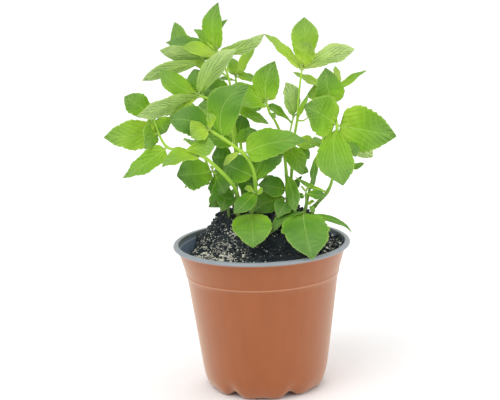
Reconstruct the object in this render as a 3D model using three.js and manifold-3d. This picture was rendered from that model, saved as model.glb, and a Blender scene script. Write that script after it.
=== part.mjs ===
// Potted mint: a thermoformed nursery pot, its soil and the leafy stems that stand in it.
// Millimetres, +Z up. The origin is the middle of the pot's flat underside, and -Y is the front.
import * as THREE from 'three';
import { mergeVertices } from 'three/addons/utils/BufferGeometryUtils.js';
import Module from 'manifold-3d';

const wasm = await Module();
wasm.setup();

// Driving dimensions
const potHeight = 108.6;
const rimRadius = 65;
const mouthRadius = 60.8;
const lipTall = 2.8;
const wall = 0.9;
const stepHeight = 86;
const channels = 12;
const channelRise = 4.4;
const channelFoot = 4;
const channelTop = 17;
const channelTurn = -5;
const channelSharpness = 1.4;
const flatRadius = 22;
const drains = 6;
const drainRadius = 2.6;
const drainAt = 35;
const segments = 36;
const gap = 0.3;
const soilLevel = 105;
const soilHeap = 22;
const soilHollow = 16;
const heapMiddle = [2, 8];
const heapStretch = 1.05;
const heapFlat = 29;
const heapFoot = 49;
const hollowMiddle = [-60, 12];
const hollowStretch = [0.6, 1.7];
const hollowFlat = 8;
const hollowFoot = 26;
const stemSides = 4;
const bladeThick = 0.7;
const bladeFold = 14;
const toothDepth = 0.13;
const stalkLength = 2;
const leastStalk = 0.05;
const mostStalk = 0.3;
const baseRoundness = 0.6;
const tipRoundness = 0.95;
const stalkHalfWidth = 0.9;
const stalkThicker = 1.5;
const edgeSweep = 0.07;
const sweepLimit = 4;
const rippleDepth = 0.05;
const rippleTurn = 2.3;
const longLeaf = 35;
const middlingLeaf = 26;
const smallLeaf = 16;

const rad = THREE.MathUtils.degToRad;
const lerp = THREE.MathUtils.lerp;
const clamp = THREE.MathUtils.clamp;
const smooth = THREE.MathUtils.smoothstep;

// Colours and finishes
const finish = (color, roughness) => new THREE.MeshStandardMaterial({ color, roughness, metalness: 0 });
const terracotta = finish(0xb06a45, 0.5);
const peat = finish(0x2a2320, 1);
const youngGreen = finish(0x9ac83c, 0.6);
const midGreen = finish(0x74ab35, 0.6);
const deepGreen = finish(0x5a8f3c, 0.6);

// A closed mesh becomes a solid, and a solid a mesh's geometry
function solidOf(geometry) {
  geometry.deleteAttribute('normal');
  geometry.deleteAttribute('uv');
  const merged = mergeVertices(geometry, 1e-4);
  const mesh = new wasm.Mesh({
    numProp: 3,
    vertProperties: new Float32Array(merged.attributes.position.array),
    triVerts: new Uint32Array(merged.index.array),
  });
  return new wasm.Manifold(mesh);
}

function geometryOf(solid) {
  const mesh = solid.getMesh();
  const geometry = new THREE.BufferGeometry();
  geometry.setAttribute('position', new THREE.BufferAttribute(mesh.vertProperties, 3));
  geometry.setIndex(new THREE.BufferAttribute(mesh.triVerts, 1));
  geometry.computeVertexNormals();
  return geometry;
}

function geometryFrom(points, faces) {
  const geometry = new THREE.BufferGeometry().setFromPoints(points);
  geometry.setIndex(faces.flat());
  return geometry;
}

// Pot. The outside runs from the underside's middle up to the lip, as radius and height.
const outside = [
  [0, 0], [flatRadius, 0], [31, 0], [40.2, 0], [43, 3.4], [45, 8.5], [46.2, 15], [55.4, stepHeight - 2.4],
  [56.2, stepHeight - 0.8], [56.2, stepHeight + 0.8], [61.6, potHeight - lipTall],
];
const lip = [
  [rimRadius - 0.5, potHeight - lipTall], [rimRadius, potHeight - lipTall / 2],
  [rimRadius - 1.1, potHeight], [mouthRadius + 0.4, potHeight], [mouthRadius, potHeight - 0.9],
];

// The same outline moved inwards, for the inside of the wall and for what fills it
function inset(distance) {
  return outside.slice(1).map(([radius, height], i) => {
    const before = outside[i];
    const after = outside[i + 2] || [radius + radius - before[0], height + height - before[1]];
    const first = new THREE.Vector2(radius - before[0], height - before[1]).normalize();
    const second = new THREE.Vector2(after[0] - radius, after[1] - height).normalize();
    const along = first.add(second).normalize();
    return [radius - distance * along.y, height + distance * along.x];
  });
}

// The floor and the foot rise over drainage channels, deep and shallow by turns
function channelLift(x, y, z) {
  return channelRise * smooth(Math.hypot(x, y), flatRadius, 36) * (1 - smooth(z, channelFoot, channelTop));
}

function channelShape(x, y) {
  const angle = Math.atan2(x, -y);
  const turned = angle - rad(channelTurn);
  const across = 0.5 + 0.5 * Math.cos(channels * turned);
  const depth = 0.62 - 0.38 * Math.cos((channels / 2) * turned);
  return depth * across ** channelSharpness;
}

function spun(profile) {
  const points = profile.map(([radius, height]) => new THREE.Vector2(radius, height));
  return new THREE.LatheGeometry(points, segments).rotateX(Math.PI / 2);
}

function moveVertices(geometry, change) {
  const place = geometry.attributes.position;
  for (let i = 0; i < place.count; i += 1) {
    const moved = change(place.getX(i), place.getY(i), place.getZ(i));
    place.setXYZ(i, moved[0], moved[1], moved[2]);
  }
  return geometry;
}

const liftFoot = (x, y, z) => [x, y, z + channelLift(x, y, z) * channelShape(x, y)];

function potSolid() {
  const profile = outside.concat(lip, inset(wall).reverse(), [[0, wall]]);
  let pot = solidOf(moveVertices(spun(profile), liftFoot));
  for (let i = 0; i < drains; i += 1) {
    const angle = ((i + 0.5) * 2 * Math.PI) / drains + rad(channelTurn);
    const drain = new THREE.CylinderGeometry(drainRadius, drainRadius, 12, 8).rotateX(Math.PI / 2);
    drain.translate(drainAt * Math.sin(angle), -drainAt * Math.cos(angle), 3);
    pot = pot.subtract(solidOf(drain));
  }
  return pot;
}

// Soil. A heap stands round the stems, falls steeply on the left and ends level with the rim in front.
function soilTop(x, y) {
  const fromHeap = Math.hypot((x - heapMiddle[0]) / heapStretch, y - heapMiddle[1]);
  const heap = soilHeap * (1 - smooth(fromHeap, heapFlat, heapFoot));
  const hollowAcross = (x - hollowMiddle[0]) / hollowStretch[0];
  const fromHollow = Math.hypot(hollowAcross, (y - hollowMiddle[1]) / hollowStretch[1]);
  const hollow = soilHollow * (1 - smooth(fromHollow, hollowFlat, hollowFoot));
  const longLumps = 1.3 * Math.sin(x * 0.31 + 0.6) * Math.cos(y * 0.27 - 0.4);
  const shortLumps = 0.8 * Math.sin(x * 0.55 + y * 0.62);
  return soilLevel + heap - hollow + longLumps + shortLumps;
}

const soilSide = inset(wall + gap);
const cornerRings = 6;
const buriedHeight = 50;
const edgeRadius = 59.5;
const belowRim = 3;
const ringStep = 0.3;

// The soil's side radius at a height, one gap inside the wall
function sideRadius(height) {
  const above = soilSide.findIndex((point, i) => i > cornerRings - 1 && point[1] >= height);
  const i = above < 0 ? soilSide.length - 1 : above;
  const [[lowRadius, lowHeight], [radius, top]] = [soilSide[i - 1], soilSide[i]];
  return lerp(lowRadius, radius, (height - lowHeight) / (top - lowHeight));
}

// Rings of the lathe stand for the underside, then the side, then the top; each is moved to its true place
function soilSolid() {
  const heights = [buriedHeight, ...soilSide.slice(cornerRings, -1).map((point) => point[1]), potHeight];
  const shares = [0.95, 0.84, 0.71, 0.58, 0.44, 0.29, 0.15];
  const sideMark = 200;
  const topMark = 400;
  const profile = [
    [0, wall + gap], ...soilSide.slice(0, cornerRings), ...heights.map((height, i) => [sideMark + i, 0]),
    ...shares.map((share) => [topMark * share, topMark]), [0, topMark],
  ];
  return solidOf(moveVertices(spun(profile), (x, y, z) => {
    const radius = Math.hypot(x, y);
    const out = radius > 0 ? [x / radius, y / radius] : [0, 0];
    const rim = Math.min(soilTop(out[0] * edgeRadius, out[1] * edgeRadius), potHeight - belowRim);
    if (z === topMark) {
      const at = (radius / topMark) * sideRadius(rim);
      return [out[0] * at, out[1] * at, soilTop(out[0] * at, out[1] * at)];
    }
    if (radius > sideMark - 1) {
      const i = Math.round(radius - sideMark);
      const height = Math.min(heights[i], rim - ringStep * (heights.length - 1 - i));
      return [out[0] * sideRadius(height), out[1] * sideRadius(height), height];
    }
    return [x, y, z + channelLift(x, y, z)];
  }));
}

// Stems are square in section and taper from foot to tip
function stemCurve(line) {
  const points = line.map((point) => new THREE.Vector3(...point));
  return new THREE.CatmullRomCurve3(points, false, 'catmullrom', 0.5);
}

function stemRings(line, girth, steps) {
  const curve = stemCurve(line);
  const count = (line.length - 1) * steps;
  const rings = [];
  let side = new THREE.Vector3(1, 0, 0);
  for (let i = 0; i <= count; i += 1) {
    const share = i / count;
    const along = curve.getTangent(share);
    side = side.clone().addScaledVector(along, -side.dot(along)).normalize();
    const other = along.clone().cross(side);
    const radius = lerp(girth[0], girth[1], share);
    const centre = curve.getPoint(share);
    const ring = [];
    for (let k = 0; k < stemSides; k += 1) {
      const angle = ((k + 0.5) * 2 * Math.PI) / stemSides;
      const corner = centre.clone().addScaledVector(side, radius * Math.cos(angle));
      ring.push(corner.addScaledVector(other, radius * Math.sin(angle)));
    }
    rings.push(ring);
  }
  return rings;
}

function tubeSolid(rings) {
  const n = stemSides;
  const last = (rings.length - 1) * n;
  const faces = [];
  for (let i = 0; i < rings.length - 1; i += 1) {
    for (let k = 0; k < n; k += 1) {
      const a = i * n + k;
      const b = i * n + ((k + 1) % n);
      faces.push([a, b, b + n], [a, b + n, a + n]);
    }
  }
  for (let k = 1; k < n - 1; k += 1) {
    faces.push([0, k + 1, k], [last, last + k, last + k + 1]);
  }
  return solidOf(geometryFrom(rings.flat(), faces));
}

// Half the blade's width along the leaf, as a share of its full width, which it has at the mark broadest
function outline(along, broadest) {
  const power = Math.log(0.5) / Math.log(broadest);
  return 0.5 * Math.sin(Math.PI * along ** power) ** lerp(baseRoundness, tipRoundness, along);
}

// The way that a leaf's upper side looks: to the sky, then turned to the front (or the back, if negative)
function leafFacing(axis, turn) {
  const sky = new THREE.Vector3(0, 0, 1).addScaledVector(axis, -axis.z).normalize();
  const across = axis.clone().cross(sky);
  if (across.y > 0) {
    across.negate();
  }
  return sky.multiplyScalar(Math.cos(rad(turn))).addScaledVector(across, Math.sin(rad(turn)));
}

// A toothed, folded and arched blade on a short stalk, split into triangles alike on both faces
function leafSolid(base, tip, width, turn, arch, broadest, bend) {
  const chord = tip.clone().sub(base);
  const length = chord.length();
  const axis = chord.clone().normalize();
  const up = leafFacing(axis, turn);
  const across = axis.clone().cross(up);
  const sideways = 0.3 * across.x + across.z > 0 ? bend : -bend;
  const cells = length > longLeaf ? 7 : length > middlingLeaf ? 5 : length > smallLeaf ? 4 : 3;
  const stalk = clamp(stalkLength / length, leastStalk, mostStalk);
  const fold = rad(bladeFold);
  const points = [];
  for (let i = -1; i <= cells; i += 1) {
    const along = Math.max(0, i / cells);
    const share = i < 0 ? 0 : lerp(stalk, 1, along);
    const rise = 4 * share * (1 - share) * arch * length;
    const slope = 4 * (1 - 2 * share) * arch;
    const normal = up.clone().addScaledVector(axis, -slope).normalize();
    const mid = base.clone().addScaledVector(chord, share).addScaledVector(up, rise);
    mid.addScaledVector(across, 4 * share * (1 - share) * sideways * length);
    const notch = i % 2 === 0 ? 1 - toothDepth : 1;
    const reach = Math.max(i < 1 ? stalkHalfWidth : 0, width * outline(along, broadest) * notch);
    const half = 0.5 * bladeThick * (i < 1 ? stalkThicker : 1);
    const edge = clamp(edgeSweep * length * Math.sin(Math.PI * along), 0, sweepLimit);
    const ripple = rippleDepth * width * Math.sin(Math.PI * along) * Math.cos(rippleTurn * i);
    for (const face of [half, -half]) {
      for (const side of [-1, 0, 1]) {
        if (i === cells && side !== 0) {
          continue;
        }
        const point = mid.clone().addScaledVector(normal, face);
        if (side !== 0) {
          point.addScaledVector(across, side * reach * Math.cos(fold));
          point.addScaledVector(normal, reach * Math.sin(fold) + side * ripple);
          point.addScaledVector(axis, edge);
        }
        points.push(point);
      }
    }
  }
  return solidOf(geometryFrom(points, leafFaces(cells)));
}

function leafFaces(cells) {
  const faces = [];
  const at = (row, face, side) => (row === cells + 1 ? row * 6 + face : row * 6 + face * 3 + side);
  for (let row = 0; row <= cells; row += 1) {
    for (const side of [0, 1]) {
      for (const face of [0, 1]) {
        const near = [at(row, face, side), at(row, face, side + 1)];
        const far = [at(row + 1, face, side + 1), at(row + 1, face, side)];
        const quad = near.concat(far);
        const split = side === 0 ? [[0, 1, 2], [0, 2, 3]] : [[0, 1, 3], [1, 2, 3]];
        for (const three of split) {
          const corners = three.map((k) => quad[k]);
          if (new Set(corners).size === 3) {
            faces.push(face === 1 ? corners.reverse() : corners);
          }
        }
      }
    }
    for (const side of [0, 2]) {
      const wallOf = [at(row, 0, side), at(row, 1, side), at(row + 1, 1, side), at(row + 1, 0, side)];
      const turned = side === 0 ? wallOf : wallOf.reverse();
      faces.push([turned[0], turned[2], turned[1]], [turned[0], turned[3], turned[2]]);
    }
  }
  for (const side of [0, 1]) {
    const end = [at(0, 0, side), at(0, 0, side + 1), at(0, 1, side + 1), at(0, 1, side)];
    faces.push([end[0], end[2], end[1]], [end[0], end[3], end[2]]);
  }
  return faces;
}

// Each shoot is one or more stems. A stem has the points of its line, its girth (half its diagonal at foot
// and tip) and its leaves: the line's point that a leaf springs from, the leaf's tip, its width, the turn of
// its face, how far its midrib arches, where along it the leaf is broadest, and how far its midrib bends
// sideways (upwards or to the right, or the other way if negative).
const shoots = {
  shoot_arch: {
    color: youngGreen,
    stems: [
      {
        line: [[-8, -12, 108], [-7, -12, 131], [-4, -13, 139], [-3, -15, 149], [-4, -21, 165],
          [-9, -26, 177], [-19, -31, 187], [-33, -36, 198]],
        girth: [2.2, 1.2],
        leaves: [
          [1.1, [-6, -50, 116], 31, 0, 0.08, 0.4, 0],
          [3, [-19, -32, 137], 14, 30, 0.06, 0.45, -0.05],
          [3, [-11, -19, 152], 7, 40, 0.1, 0.45, 0],
          [3, [2, -18, 149], 7, 40, 0.1, 0.45, 0],
          [3.5, [18, -15, 178], 22, 70, 0, 0.5, 0.2],
          [3.7, [-26, -12, 170], 22, 70, 0, 0.45, 0],
          [5.2, [35, -18, 185], 24, 60, 0, 0.22, 0.08],
          [5.4, [-25, -30, 171], 7, 30, 0.1, 0.4, 0],
          [6.4, [-5, -26, 227], 26, 70, 0.04, 0.42, 0.25],
          [6.8, [-61, -32, 206], 24, 60, 0.04, 0.5, 0.1],
          [7, [-34, -40, 211], 11, 110, 0.1, 0.5, 0],
          [7, [-46, -45, 195], 18, 50, 0.1, 0.5, 0.14],
        ],
      },
    ],
  },
  shoot_low_left: {
    color: midGreen,
    stems: [
      {
        line: [[-16, -9, 108], [-16, -9, 129], [-16, -16, 147], [-22, -27, 161], [-36, -38, 178],
          [-43, -40, 182], [-55, -38, 185], [-64, -34, 187], [-70, -24, 195], [-74, -12, 204]],
        girth: [2, 0.9],
        leaves: [
          [4.5, [-67, -50, 176], 20, 20, 0.12, 0.4, 0],
          [5.8, [-30, -46, 189], 15, 60, 0.04, 0.62, 0],
          [7, [-95, -44, 168], 18, 40, 0, 0.27, -0.03],
          [8, [-108, -33, 195], 24, 60, 0, 0.34, -0.01],
          [9, [-79, -40, 187], 16, 60, 0.06, 0.45, 0],
          [9, [-65, -14, 194], 20, 80, 0.04, 0.45, 0],
          [9, [-94, -10, 220], 19, 60, 0, 0.5, 0.04],
        ],
      },
    ],
  },
  shoot_tall_left: {
    color: youngGreen,
    stems: [
      {
        line: [[-11, 10, 106], [-11, 10, 129], [-14, 8, 153], [-16, 5, 183], [-18, 2, 213], [-20, 0, 231],
          [-27, 0, 248]],
        girth: [2, 0.9],
        leaves: [
          [6, [-25, 6, 283], 16, 10, 0.03, 0.36, -0.11],
          [6, [-52, -14, 254], 13, 60, 0.04, 0.35, 0],
          [5.9, [-68, 0, 251], 17, -60, 0, 0.5, -0.05],
          [6, [-58, 26, 268], 17, 60, 0, 0.65, -0.22],
          [5.6, [-64, 12, 255], 20, 30, 0.04, 0.5, 0.06],
          [6, [-43, 0, 265], 11, 30, 0.02, 0.5, 0],
          [6, [-19, 12, 270], 6, 20, 0, 0.65, -0.2],
          [6, [7, -6, 261], 12, -60, 0, 0.4, -0.12],
          [4.2, [-40, 18, 218], 21, 50, 0.1, 0.4, 0],
          [4, [4, 18, 214], 19, 40, 0.1, 0.4, 0],
          [3.8, [8, -6, 196], 10, 30, 0.02, 0.45, 0],
          [3, [-10, 12, 201], 15, 50, 0.05, 0.4, 0],
        ],
      },
      {
        line: [[-20, 0, 230], [-28, 0, 236], [-37, 0, 242]],
        girth: [1, 0.8],
        leaves: [
          [2, [-82, 4, 229], 13, -60, 0, 0.5, 0.04],
          [2, [-43, -8, 240], 9, 50, 0.05, 0.45, -0.15],
        ],
      },
    ],
  },
  shoot_mid_left: {
    color: midGreen,
    stems: [
      {
        line: [[-17, -2, 106], [-17, -2, 130], [-17, -2, 155], [-17, -4, 181], [-22, -8, 206],
          [-32, -9, 215], [-42, -9, 219]],
        girth: [1.9, 0.9],
        leaves: [
          [6, [-68, -13, 238], 18, 60, 0, 0.48, -0.07],
          [5.8, [-84, -37, 210], 19, -60, 0, 0.45, -0.01],
          [6, [-13, -14, 252], 17, -60, 0, 0.42, 0.08],
          [6, [-60, -18, 205], 10, 30, 0.1, 0.4, 0],
          [5.6, [-44, -2, 237], 17, 60, 0.03, 0.5, 0],
          [5, [-25, 0, 220], 10, 50, 0.1, 0.4, 0],
          [3, [-40, -8, 188], 14, 50, 0.1, 0.4, 0],
          [1.7, [-25, 6, 137], 14, 50, 0.03, 0.45, 0],
          [2, [-1, -9, 152], 17, 60, 0, 0.45, 0],
          [3.1, [0, -10, 192], 12, 50, 0.05, 0.4, 0],
          [2.6, [-34, -4, 173], 23, 60, 0.04, 0.5, 0],
          [3.3, [-39, 0, 199], 17, 60, 0.03, 0.5, 0],
        ],
      },
    ],
  },
  shoot_centre: {
    color: midGreen,
    stems: [
      {
        line: [[20, 2, 106], [20, 2, 129], [20, 3, 149], [19, 3, 168], [17, 3, 185], [13, 2, 196],
          [9, 1, 203], [7, 0, 210]],
        girth: [2, 0.9],
        leaves: [
          [7, [14, 4, 240], 21, 60, 0, 0.34, -0.11],
          [7, [-21, -3, 223], 16, 50, 0.04, 0.45, 0.05],
          [6.7, [-16, -13, 211], 14, 30, 0.12, 0.4, 0],
          [6, [13, -4, 200], 4, 40, 0.2, 0.5, 0],
          [3.7, [24, -12, 178], 9, 50, 0.15, 0.5, 0.1],
          [3.7, [11, -4, 179], 7, 50, 0.1, 0.5, 0],
          [3.6, [31, -10, 159], 15, 50, 0.04, 0.45, 0.1],
          [4, [-4, -1, 171], 25, 60, 0.06, 0.4, 0],
          [2.4, [25, -20, 134], 13, 50, 0.04, 0.5, 0.08],
          [1.8, [-1, -2, 151], 19, 50, 0.04, 0.4, 0],
          [1.5, [-5, -6, 132], 19, 50, 0.06, 0.5, 0.08],
          [1.3, [12, -24, 131], 15, 20, 0.15, 0.5, 0],
        ],
      },
    ],
  },
  shoot_upright: {
    color: youngGreen,
    stems: [
      {
        line: [[22, 10, 106], [22, 10, 128], [23, 10, 148], [26, 9, 180], [29, 5, 198], [30, 5, 212],
          [33, 4, 233]],
        girth: [1.9, 0.9],
        leaves: [
          [6, [7, 0, 260], 12, 40, 0, 0.35, 0.05],
          [6, [36, 10, 270], 21, 30, 0, 0.53, 0.02],
          [6, [39, 0, 253], 22, 80, 0.05, 0.55, 0],
          [6, [71, 0, 247], 17, -65, 0, 0.54, 0.05],
          [4, [37, 4, 215], 6, 40, 0.05, 0.4, -0.1],
          [3, [41, 0, 177], 12, 50, 0.05, 0.45, 0.05],
          [2.8, [37, 8, 167], 10, 50, 0.1, 0.5, 0.1],
          [2.4, [36, 4, 158], 8, 50, 0.05, 0.5, 0],
          [1.3, [31, 4, 155], 10, 50, 0.03, 0.5, 0.05],
        ],
      },
      {
        line: [[26, 9, 178], [23, 9, 184], [24, 8, 190], [25, 8, 194], [26, 7, 198]],
        girth: [0.9, 0.7],
        leaves: [
          [4, [21, 0, 225], 16, -70, 0, 0.42, 0.1],
          [3, [7, 5, 208], 10, 40, 0.03, 0.6, 0.04],
        ],
      },
      {
        line: [[29, 5, 196], [33, 4, 196], [36, 2, 198]],
        girth: [0.8, 0.6],
        leaves: [],
      },
    ],
  },
  shoot_right: {
    color: midGreen,
    stems: [
      {
        line: [[38, 0, 106], [38, 0, 129], [41, -1, 135], [49, -2, 144], [53, -4, 155], [56, -7, 175],
          [57, -3, 193], [55, 6, 208], [57, 10, 216]],
        girth: [1.9, 0.9],
        leaves: [
          [6, [33, -16, 210], 32, 80, 0, 0.3, 0.03],
          [6, [99, -12, 185], 36, 80, 0, 0.27, 0],
          [5.9, [59, -29, 154], 29, 0, 0.14, 0.56, -0.12],
          [5.8, [69, -17, 172], 14, 15, 0, 0.5, 0.1],
          [5.7, [83, 6, 167], 16, -60, 0, 0.6, 0],
          [6.8, [50, 3, 234], 25, 80, 0, 0.3, -0.05],
          [8, [58, 20, 233], 9, 50, 0.05, 0.5, -0.05],
          [8, [80, 12, 230], 10, 20, 0, 0.33, 0.03],
          [8, [27, 16, 230], 11, 20, 0, 0.42, -0.03],
          [7.8, [36, 13, 212], 15, 50, 0.05, 0.42, 0.05],
          [4.4, [76, -5, 165], 6, 40, 0, 0.6, -0.1],
          [3, [26, -6, 157], 4, 50, 0, 0.4, -0.08],
          [1.6, [36, -16, 133], 6, 50, 0, 0.5, 0],
        ],
      },
    ],
  },
  shoot_back_centre: {
    color: deepGreen,
    stems: [
      {
        line: [[-12, 28, 106], [-12, 28, 127], [-11, 28, 150], [-13, 30, 175], [-14, 31, 200],
          [-15, 30, 226]],
        girth: [1.9, 0.9],
        leaves: [
          [5, [-17, 38, 239], 9, 10, 0.05, 0.4, 0],
          [5, [0, 33, 247], 9, 40, 0, 0.45, 0.06],
          [5, [0, 38, 223], 10, 40, 0.03, 0.4, 0],
          [4.9, [-28, 24, 226], 6, 20, 0.03, 0.4, 0],
          [5, [-13, 58, 231], 16, 0, 0.1, 0.35, 0],
          [4, [-44, 42, 204], 22, 40, 0.1, 0.35, 0],
          [4, [4, 46, 208], 20, 40, 0.1, 0.35, 0],
          [3, [-14, 66, 182], 25, 0, 0.12, 0.35, 0],
          [2, [-35, 50, 152], 22, 40, 0.1, 0.35, 0],
          [2, [4, 44, 158], 22, 40, 0.1, 0.35, 0],
          [1.6, [-8, 62, 138], 22, 0, 0.15, 0.35, 0],
        ],
      },
    ],
  },
  shoot_back_left: {
    color: deepGreen,
    stems: [
      {
        line: [[-27, 20, 106], [-28, 21, 127], [-35, 26, 150], [-42, 32, 172], [-47, 38, 190]],
        girth: [1.8, 0.9],
        leaves: [
          [4, [-66, 50, 196], 20, 40, 0.1, 0.35, 0],
          [4, [-36, 66, 200], 19, 0, 0.1, 0.35, 0],
          [4, [-50, 42, 207], 10, 0, 0.05, 0.35, 0],
          [3, [-52, 62, 172], 21, 0, 0.12, 0.35, 0],
          [2, [-53, 22, 152], 18, 40, 0.1, 0.35, 0],
          [2, [-57, 42, 141], 18, 20, 0.1, 0.35, 0],
        ],
      },
    ],
  },
  shoot_back_right: {
    color: deepGreen,
    stems: [
      {
        line: [[34, 22, 106], [34, 22, 127], [40, 27, 150], [46, 30, 170], [52, 32, 190]],
        girth: [1.8, 0.9],
        leaves: [
          [4, [50, 62, 186], 16, 20, 0.1, 0.4, 0],
          [4, [36, 56, 200], 19, 0, 0.1, 0.35, 0],
          [4, [54, 38, 210], 10, 0, 0.05, 0.35, 0],
          [3, [54, 66, 166], 21, 0, 0.12, 0.35, 0],
          [3, [60, 40, 172], 15, 40, 0.1, 0.35, 0],
          [2.9, [40, 18, 144], 7, 60, 0, 0.5, 0.08],
        ],
      },
    ],
  },
  shoot_short_left: {
    color: deepGreen,
    stems: [
      {
        line: [[-23, -4, 106], [-23, -5, 129], [-25, -7, 145], [-29, -10, 159], [-33, -12, 164]],
        girth: [1.6, 0.9],
        leaves: [
          [4, [-59, -18, 163], 29, 50, 0.03, 0.45, -0.03],
          [3.4, [-37, -22, 140], 22, 60, 0, 0.5, -0.34],
          [3.8, [-25, -18, 149], 22, 70, 0.05, 0.5, 0],
          [2, [-28, -24, 137], 12, 30, 0.1, 0.35, 0],
        ],
      },
    ],
  },
  shoot_front_right: {
    color: deepGreen,
    stems: [
      {
        line: [[31, -12, 106], [31, -12, 128], [33, -12, 138], [33, -12, 146]],
        girth: [1.6, 0.9],
        leaves: [
          [1.2, [35, -61, 109], 36, 0, 0.14, 0.46, -0.05],
          [3, [47, -16, 144], 9, 40, 0, 0.45, -0.03],
          [2.8, [28, -14, 144], 6, 40, 0, 0.45, 0],
          [1.05, [66, -6, 114], 6, 40, 0.16, 0.35, 0],
          [1.3, [6, -32, 121], 14, 0, 0.12, 0.45, 0],
          [1.8, [39, -14, 140], 5, 30, 0.05, 0.5, 0],
        ],
      },
    ],
  },
};

function shootSolid({ stems }) {
  const parts = [];
  for (const { line, girth, leaves } of stems) {
    const curve = stemCurve(line);
    parts.push(tubeSolid(stemRings(line, girth, 2)));
    for (const [point, tip, ...form] of leaves) {
      const base = curve.getPoint(Math.min(1, point / (line.length - 1)));
      parts.push(leafSolid(base, new THREE.Vector3(...tip), ...form));
    }
  }
  return parts.reduce((whole, part) => whole.add(part));
}

// Every stem stands in its own plain hole, one gap clear of it all round
const holeRings = 6;
const holeSlack = 1.2;

function holeSolid({ stems }) {
  const { line, girth } = stems[0];
  const grow = holeSlack * gap * Math.SQRT2;
  const deeper = [[line[0][0], line[0][1], line[0][2] - 2 * gap], ...line.slice(1)];
  const rings = stemRings(deeper, [girth[0] + grow, girth[1] + grow], 2);
  return tubeSolid(rings.slice(0, holeRings));
}

const group = new THREE.Group();

function place(name, solid, material) {
  const mesh = new THREE.Mesh(geometryOf(solid), material);
  mesh.name = name;
  group.add(mesh);
}

let soil = soilSolid();
for (const shoot of Object.values(shoots)) {
  soil = soil.subtract(holeSolid(shoot));
}

place('pot', potSolid(), terracotta);
place('soil', soil, peat);
for (const [name, shoot] of Object.entries(shoots)) {
  place(name, shootSolid(shoot), shoot.color);
}

export default group;
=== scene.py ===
import math

import bmesh
import bpy
import numpy as np
from mathutils import Matrix, Vector, noise


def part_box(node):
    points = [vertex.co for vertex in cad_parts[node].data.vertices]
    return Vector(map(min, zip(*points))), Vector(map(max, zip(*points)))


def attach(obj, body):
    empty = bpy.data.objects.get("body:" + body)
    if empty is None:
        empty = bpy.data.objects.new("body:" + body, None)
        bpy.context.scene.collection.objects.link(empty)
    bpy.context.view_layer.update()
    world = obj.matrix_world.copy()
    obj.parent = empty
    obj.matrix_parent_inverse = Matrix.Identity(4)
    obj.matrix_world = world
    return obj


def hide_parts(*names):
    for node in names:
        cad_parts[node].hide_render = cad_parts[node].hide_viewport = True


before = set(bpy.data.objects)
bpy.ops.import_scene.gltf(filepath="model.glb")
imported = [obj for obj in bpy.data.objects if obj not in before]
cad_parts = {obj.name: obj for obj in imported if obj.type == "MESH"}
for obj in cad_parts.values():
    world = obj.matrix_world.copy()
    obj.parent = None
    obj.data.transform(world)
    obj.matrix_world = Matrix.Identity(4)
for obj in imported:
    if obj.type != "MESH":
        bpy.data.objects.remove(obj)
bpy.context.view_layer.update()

# The studio. A wide sheet of white card is the floor and the surround is white. A soft key light comes from
# the upper left, and large lamps hang at the right and behind. The camera stands a little over a metre in
# front of the pot, a hand's width above the top of the plant.
camera_place = (0, -1.0349, 0.3698)
camera_pan = 0.41
camera_tilt = 12.55
camera_roll = -2.02
camera_lens = 104.7
camera_reach = 50
surround_strength = 0.8
key_place = (-0.9, -1.0, 1.7)
key_strength = 1.1
key_spread = 50
floor_radius = 9.0
floor_gap = 0.0002
floor_sides = 96
lamps = {
    "side_lamp": {"place": (1.5, -0.7, 0.8), "width": 0.9, "power": 5},
    "rear_lamp": {"place": (0.4, 1.3, 1.6), "width": 1.2, "power": 7},
}
lamp_aim = Vector((0, 0, 0.15))

scene = bpy.context.scene
scene.view_settings.view_transform = "Standard"

camera = bpy.data.objects.new("camera", bpy.data.cameras.new("camera"))
camera.data.lens = camera_lens
camera.data.clip_end = camera_reach
turned = Matrix.Rotation(math.radians(camera_pan), 4, "Z")
tilted = Matrix.Rotation(math.radians(90 - camera_tilt), 4, "X")
rolled = Matrix.Rotation(math.radians(camera_roll), 4, "Z")
camera.matrix_world = Matrix.Translation(camera_place) @ turned @ tilted @ rolled
scene.collection.objects.link(camera)
scene.camera = camera

world = bpy.data.worlds.new("white_surround")
world.use_nodes = True
world.node_tree.nodes["Background"].inputs["Color"].default_value = (1, 1, 1, 1)
world.node_tree.nodes["Background"].inputs["Strength"].default_value = surround_strength
scene.world = world

key = bpy.data.objects.new("key_light", bpy.data.lights.new("key_light", "SUN"))
key.data.energy = key_strength
key.data.angle = math.radians(key_spread)
key.rotation_euler = (lamp_aim - Vector(key_place)).to_track_quat("-Z", "Y").to_euler()
scene.collection.objects.link(key)

for lamp_name, lamp in lamps.items():
    light = bpy.data.objects.new(lamp_name, bpy.data.lights.new(lamp_name, "AREA"))
    light.data.size = lamp["width"]
    light.data.energy = lamp["power"]
    light.location = lamp["place"]
    light.rotation_euler = (lamp_aim - light.location).to_track_quat("-Z", "Y").to_euler()
    scene.collection.objects.link(light)


class Sum:
    """A shader socket that takes part in Python sums: each sum adds its Math node."""

    def __init__(self, paint, socket):
        self.paint = paint
        self.socket = socket

    def math(self, operation, *values):
        made = self.paint.node("ShaderNodeMath", {"operation": operation}, dict(enumerate(values)))
        return Sum(self.paint, made.outputs[0])

    def __add__(self, other):
        return self.math("ADD", self, other)

    def __mul__(self, other):
        return self.math("MULTIPLY", self, other)

    def __sub__(self, other):
        return self.math("SUBTRACT", self, other)

    def __rsub__(self, other):
        return self.math("SUBTRACT", other, self)

    def __abs__(self):
        return self.math("ABSOLUTE", self)

    __radd__ = __add__
    __rmul__ = __mul__

    def fraction(self):
        """What is left of a number once its whole part is taken away."""
        return self.math("FRACT", self)

    def step(self, low, high):
        """0 below low and 1 above high, with a soft change between them."""
        kind = {"interpolation_type": "SMOOTHSTEP", "clamp": True}
        made = self.paint.node("ShaderNodeMapRange", kind, {0: self, 1: low, 2: high})
        return Sum(self.paint, made.outputs[0])


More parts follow.
